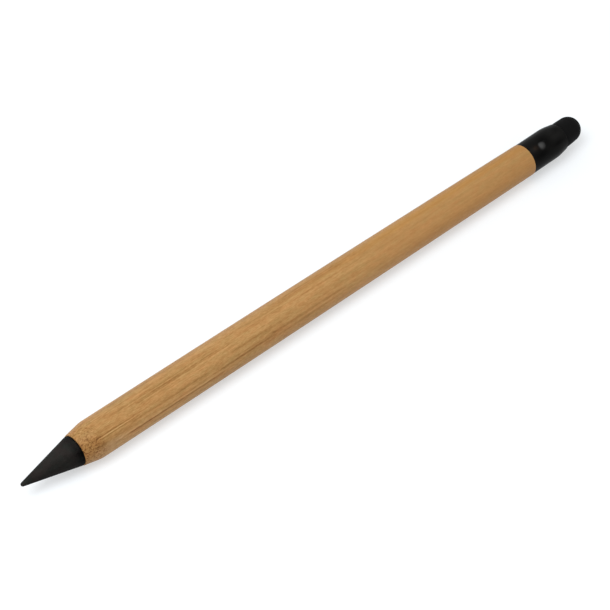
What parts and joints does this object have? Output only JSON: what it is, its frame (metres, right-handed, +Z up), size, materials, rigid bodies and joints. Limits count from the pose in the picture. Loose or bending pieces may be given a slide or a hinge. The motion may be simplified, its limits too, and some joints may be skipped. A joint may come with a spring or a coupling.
{
  "type": "inkless pencil",
  "caption": "Slim round bamboo pencil that writes without ink: screw-in graphite cone nib, black dimpled metal ferrule and a domed black rubber eraser.",
  "frame": {"origin": "on the plane the pencil lies on, under the middle of its length", "axes": "+X along the pencil from its nib to its eraser, +Z up from the surface it lies on"},
  "size_m": [0.1752, 0.0094, 0.0094],
  "materials": {
    "graphite": "matte",
    "steel": "satin",
    "black_plastic": "matte",
    "brass": "satin",
    "bamboo": "satin",
    "black_aluminium": "satin",
    "black_rubber": "matte"
  },
  "bodies": {
    "barrel": {"barrel": "bamboo", "threaded_insert": "brass", "ferrule": "black_aluminium", "eraser": "black_rubber"},
    "washer": {"nib_washer": "black_plastic"},
    "nib": {"nib": "graphite", "nib_stud": "steel"}
  },
  "joints": [
    {"name": "nib_travel", "type": "slide", "parent": "barrel", "child": "washer", "axis": [-1, 0, 0], "range_m": [0, 0.005]},
    {"name": "nib_turn", "type": "hinge", "parent": "washer", "child": "nib", "pos_m": [-0.07312, 0, 0.00468], "axis": [-1, 0, 0], "range_deg": [0, 3600]}
  ],
  "couplings": [
    {"joint": "nib_turn", "follows": "nib_travel", "rad_per_m": 12566}
  ]
}
